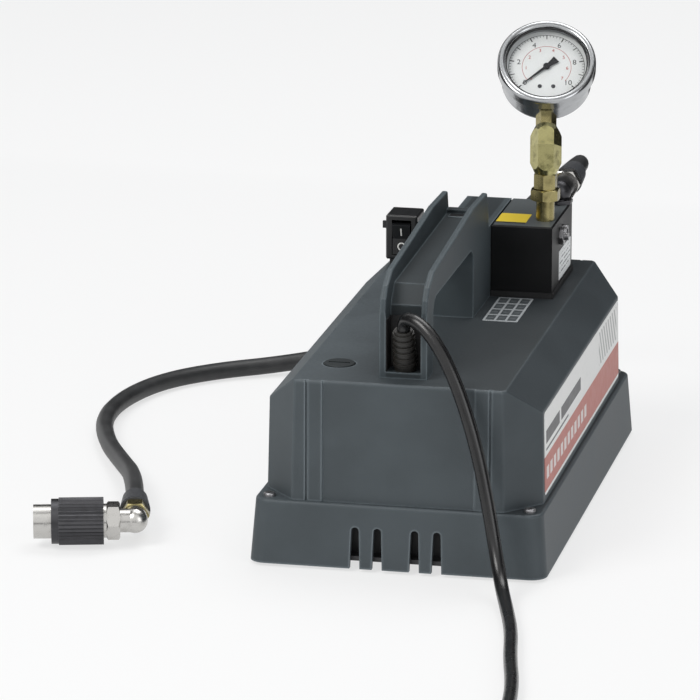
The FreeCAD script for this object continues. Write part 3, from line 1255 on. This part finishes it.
# ---- Cords -----------------------------------------------------------------------------------
def cord_path(points):
    """Straight runs joined by tangent arcs, with the arcs' radii and the whole length."""
    edges = []
    radii = []
    last = points[0]
    for before, here, after in zip(points, points[1:], points[2:]):
        inward = (here - before).normalize()
        outward = (after - here).normalize()
        half_turn = inward.getAngle(outward) / 2
        reach = ARC_SHARE * min((here - before).Length, (after - here).Length)
        radius = reach / math.tan(half_turn)
        middle_line = (outward - inward).normalize()
        middle = here + middle_line * (radius / math.cos(half_turn) - radius)
        start = here - inward * reach
        end = here + outward * reach
        edges.append(Part.LineSegment(last, start).toShape())
        edges.append(Part.Arc(start, middle, end).toShape())
        radii.append(radius)
        last = end
    edges.append(Part.LineSegment(last, points[-1]).toShape())
    path = Part.Wire(edges)
    return path, radii


def cord_tube(name, points, radius):
    """A plain tube along a route; prints its bends and compares volume with section times length."""
    path, radii = cord_path(points)
    section = Part.Wire(Part.makeCircle(radius, points[0], (points[1] - points[0]).normalize()))
    solid = path.makePipeShell([section], True, True)
    share = solid.Volume / (math.pi * radius ** 2 * path.Length)
    bends = ", ".join(f"{value:.0f}" for value in radii)
    print(f"{name}: length {path.Length:.0f} mm, volume {share:.4f} of expected, radii {bends}")
    return solid


def ribbed_sleeve(start, direction, base_radius, tip_radius, length, ribs, rib_height):
    """A tapering sleeve with rings round it."""
    pieces = [Part.makeCone(base_radius, tip_radius, length, start, direction)]
    pitch = length / (ribs + 0.5)
    for step in range(ribs):
        along = pitch * (step + 0.5)
        radius = base_radius + (tip_radius - base_radius) * along / length + rib_height
        pieces.append(rod(start + direction * along, direction, radius, pitch / 2))
    return fused(pieces)


def boot_direction():
    """The way the mains cord leaves its boot."""
    tilt = math.radians(BOOT_TILT)
    return Vector(0, -math.sin(tilt), math.cos(tilt))


def boot_base():
    """The foot of the mains cord's boot, in the handle's front channel."""
    return Vector(0, BOOT_Y, SHROUD_TOP + CHEEK + BOOT_FOOT)


def cord_start():
    """Where the mains cord starts, inside the boot's mouth."""
    return boot_base() + boot_direction() * (BOOT_LENGTH - CORD_SEAT)


def make_strain_relief():
    """The ribbed boot where the mains cord comes out."""
    direction = boot_direction()
    boot = ribbed_sleeve(boot_base(), direction, BOOT_BASE_RADIUS, BOOT_TIP_RADIUS, BOOT_LENGTH, BOOT_RIBS,
                         RIB_HEIGHT)
    foot = rod(boot_base() - direction * BOOT_FOOT, direction, BOOT_BASE_RADIUS, BOOT_FOOT)
    boot = fused([boot, foot])
    floor = box(-SKIRT_WIDTH, SKIRT_WIDTH, -SKIRT_LENGTH, 0, 0, SHROUD_TOP + CHEEK)
    return boot.cut(floor).cut(rod(cord_start(), direction, CORD_RADIUS, BOOT_LENGTH))


def make_power_cord():
    """The mains cord from its boot to the coil."""
    points = [cord_start()] + [Vector(*point) for point in CORD_ROUTE]
    return cord_tube("power_cord", points, CORD_RADIUS)


def coil_centre():
    """The middle of the coil, at the height of its underside."""
    return Vector(COIL_X, COIL_Y, COIL_BOTTOM)


def make_power_cord_coil():
    """The outer shape of the coiled rest of the cord."""
    inner = COIL_RADIUS - COIL_SECTION / 2
    ring = tube(coil_centre(), ALONG_Z, inner + COIL_SECTION, inner, COIL_SECTION)
    corners = [edge for edge in ring.Edges if edge.BoundBox.ZLength < EDGE_TOLERANCE]
    return ring.makeFillet(COIL_ROUND, corners)


def plug_start():
    """Where the plug's boot begins, on the coil."""
    outer = COIL_RADIUS + COIL_SECTION / 2
    past_coil = math.sqrt(outer ** 2 - COIL_RADIUS ** 2)
    return coil_centre() + Vector(past_coil, -COIL_RADIUS, PLUG_DEPTH / 2)


def make_mains_plug():
    """The moulded plug with its tapered boot."""
    start = plug_start()
    boot = ribbed_sleeve(start, ALONG_X, CORD_RADIUS + RIB_HEIGHT, BOOT_BASE_RADIUS, PLUG_BOOT, BOOT_RIBS,
                         RIB_HEIGHT)
    x0 = start.x + PLUG_BOOT
    body = box(x0, x0 + PLUG_LENGTH, start.y - PLUG_WIDTH / 2, start.y + PLUG_WIDTH / 2,
               start.z - PLUG_DEPTH / 2, start.z + PLUG_DEPTH / 2)
    body = body.makeFillet(PLUG_ROUND, body.Edges)
    return fused([boot, body])


def make_plug_pins():
    """Two flat blades and a round earth pin."""
    face = plug_start() + Vector(PLUG_BOOT + PLUG_LENGTH, 0, 0)
    pins = []
    for side in (-1, 1):
        y = face.y + side * BLADE_PITCH / 2
        pins.append(box(face.x, face.x + BLADE_LENGTH, y - BLADE_THICKNESS / 2, y + BLADE_THICKNESS / 2,
                        face.z - BLADE_WIDTH, face.z))
    pins.append(rod(face + Vector(0, 0, BLADE_WIDTH), ALONG_X, EARTH_PIN_RADIUS, BLADE_LENGTH))
    return Part.makeCompound(pins)


# ---- Outlet hose -----------------------------------------------------------------------------
def outlet_corner():
    """Where the outlet elbow turns."""
    return Vector(OUTLET_X, OUTLET_Y, BLOCK_TOP + OUTLET_RISE)


def outlet_direction():
    """The way the hose leaves the elbow."""
    return ALONG_Y


def sleeve_start():
    """Where the hose's first sleeve begins."""
    return outlet_corner() + outlet_direction() * (OUTLET_ARM + NUT_LENGTH)


def hose_start():
    """Where the hose starts, inside its first sleeve."""
    return sleeve_start() + outlet_direction() * (SLEEVE_LENGTH - HOSE_SEAT)


def make_outlet_elbow():
    """The dark elbow screwed into the block's top."""
    inside = rod(outlet_port(), ALONG_Z, RISER_RADIUS, PORT_DEPTH + OUTLET_RISE)
    collar_bottom = outlet_port() + Vector(0, 0, PORT_DEPTH)
    collar = chamfered_hexagon(collar_bottom, ALONG_Z, OUTLET_HEX, OUTLET_COLLAR)
    ball = Part.makeSphere(OUTLET_BODY + ELBOW_SWELL, outlet_corner())
    arm = rod(outlet_corner(), outlet_direction(), OUTLET_BODY, OUTLET_ARM)
    return fused([inside, collar, ball, arm])


def make_outlet_nut():
    """The chromed swivel nut on the hose."""
    start = outlet_corner() + outlet_direction() * OUTLET_ARM
    return chamfered_hexagon(start, outlet_direction(), NUT_HEX, NUT_LENGTH)


def end_direction():
    """The way the hose arrives at its far end."""
    return (Vector(*HOSE_END) - Vector(*HOSE_ROUTE[-1])).normalize()


def coupler_direction():
    """The way the coupler points, square to the hose and level."""
    along = end_direction()
    return Vector(along.y, -along.x, 0).normalize()


def hose_sleeve(start, direction):
    """One crimped sleeve with a mouth for the hose at its tip."""
    sleeve = ribbed_sleeve(start, direction, SLEEVE_RADIUS, SLEEVE_RADIUS - 2 * RIB_HEIGHT, SLEEVE_LENGTH,
                           SLEEVE_RIBS, RIB_HEIGHT / 2)
    mouth = rod(start + direction * (SLEEVE_LENGTH - HOSE_SEAT), direction, HOSE_RADIUS, 2 * HOSE_SEAT)
    return sleeve.cut(mouth)


def far_sleeve_start():
    """The outer end of the far sleeve."""
    return Vector(*HOSE_END) + end_direction() * (SLEEVE_LENGTH - HOSE_SEAT)


def make_hose_sleeves():
    """The two identical sleeves of the hose."""
    near = hose_sleeve(sleeve_start(), outlet_direction())
    far = hose_sleeve(far_sleeve_start(), end_direction() * -1)
    return Part.makeCompound([near, far])


def make_hose():
    """The outlet hose between its two sleeves."""
    points = [hose_start()] + [Vector(*point) for point in HOSE_ROUTE] + [Vector(*HOSE_END)]
    return cord_tube("hose", points, HOSE_RADIUS)


def make_end_adapter():
    """The brass nut behind the far elbow."""
    return chamfered_hexagon(far_sleeve_start(), end_direction(), END_HEX, END_HEX_LENGTH)


def far_corner():
    """Where the far elbow turns."""
    return far_sleeve_start() + end_direction() * (END_HEX_LENGTH + END_ELBOW_LEG)


def make_end_elbow():
    """The chromed right-angle elbow between hose and coupler."""
    leg_start = far_corner() - end_direction() * END_ELBOW_LEG
    leg = rod(leg_start, end_direction(), END_ELBOW_RADIUS, END_ELBOW_LEG)
    arm = rod(far_corner(), coupler_direction(), END_ELBOW_RADIUS, END_ELBOW_LEG)
    return fused([leg, arm, Part.makeSphere(END_ELBOW_RADIUS + ELBOW_SWELL, far_corner())])


def coupler_start():
    """The inner end of the coupler."""
    return far_corner() + coupler_direction() * END_ELBOW_LEG


def make_coupler_body():
    """The quick coupler's body with its socket."""
    axis = coupler_direction()
    collar = chamfered_hexagon(coupler_start(), axis, 2 * COUPLER_RADIUS, COUPLER_HEX_LENGTH)
    body = rod(coupler_start(), axis, COUPLER_RADIUS, COUPLER_LENGTH)
    tip = coupler_start() + axis * COUPLER_LENGTH
    body = fused([collar, body])
    return body.cut(rod(tip - axis * COUPLER_BORE_DEPTH, axis, COUPLER_BORE, COUPLER_BORE_DEPTH))


def make_coupler_collar():
    """The knurled ring that turns on the coupler."""
    axis = coupler_direction()
    start = coupler_start() + axis * (COUPLER_HEX_LENGTH + 2 * OVERRUN)
    side, other = across(axis)
    corners = []
    for step in range(2 * COLLAR_KNURLS):
        angle = math.pi * step / COLLAR_KNURLS
        radius = COLLAR_RADIUS - (KNURL_DEPTH if step % 2 else 0)
        corners.append(start + side * (radius * math.cos(angle)) + other * (radius * math.sin(angle)))
    collar = prism(corners, axis * COLLAR_LENGTH)
    bore = COUPLER_RADIUS + RUNNING_FIT
    lip = tube(start + axis * COLLAR_LENGTH, axis, COLLAR_RADIUS - KNURL_DEPTH, bore, COLLAR_LIP)
    return fused([collar.cut(rod(start, axis, bore, COLLAR_LENGTH)), lip])


# ---- Output ----------------------------------------------------------------------------------
NODES = {
    "base_skirt": make_base_skirt, "shroud": make_shroud, "carry_handle": make_carry_handle,
    "base_plate": make_base_plate, "rubber_feet": make_rubber_feet, "cover_screws": make_cover_screws,
    "oil_tank": make_oil_tank, "tank_gasket": make_tank_gasket, "tank_lid": make_tank_lid,
    "filler_cap": make_filler_cap, "filler_seal": make_filler_seal,
    "suction_pipe": make_suction_pipe, "intake_strainer": make_intake_strainer,
    "motor_can": make_motor_can, "field_magnets": make_field_magnets, "pump_end_bell": make_pump_end_bell,
    "brush_end_bell": make_brush_end_bell, "shaft_bearings": make_shaft_bearings,
    "eccentric_shaft": make_eccentric_shaft, "armature": make_armature,
    "armature_windings": make_armature_windings, "commutator": make_commutator,
    "carbon_brushes": make_carbon_brushes, "cooling_fan": make_cooling_fan,
    "pump_body": make_pump_body, "cam_ring": make_cam_ring,
    "low_piston": lambda: make_piston(LOW_PISTON_X, LOW_PISTON_RADIUS),
    "high_piston": lambda: make_piston(HIGH_PISTON_X, HIGH_PISTON_RADIUS),
    "low_piston_spring": lambda: make_piston_spring(LOW_PISTON_X, LOW_PISTON_RADIUS),
    "high_piston_spring": lambda: make_piston_spring(HIGH_PISTON_X, HIGH_PISTON_RADIUS),
    "block_gasket": make_block_gasket, "valve_block": make_valve_block, "block_bolts": make_block_bolts,
    "relief_valve": make_relief_valve, "port_plug": lambda: side_plug(SPARE_PORT_Y),
    "gauge_riser": make_gauge_riser, "gauge_lock_nut": make_gauge_lock_nut, "gauge_elbow": make_gauge_elbow,
    "gauge_stem": make_gauge_stem, "bourdon_tube": make_bourdon_tube, "gauge_case": make_gauge_case,
    "gauge_bezel": make_gauge_bezel, "gauge_dial": make_gauge_dial, "gauge_needle": make_gauge_needle,
    "gauge_lens": make_gauge_lens, "switch_box": make_switch_box, "switch_rocker": make_switch_rocker,
    "strain_relief": make_strain_relief, "power_cord": make_power_cord,
    "power_cord_coil": make_power_cord_coil,
    "mains_plug": make_mains_plug, "plug_pins": make_plug_pins,
    "outlet_elbow": make_outlet_elbow, "outlet_nut": make_outlet_nut, "hose_sleeves": make_hose_sleeves,
    "hose": make_hose, "end_adapter": make_end_adapter, "end_elbow": make_end_elbow,
    "coupler_body": make_coupler_body, "coupler_collar": make_coupler_collar,
}

os.makedirs("parts", exist_ok=True)
for node_name, make_node in NODES.items():
    make_node().exportStep(f"parts/{node_name}.step")
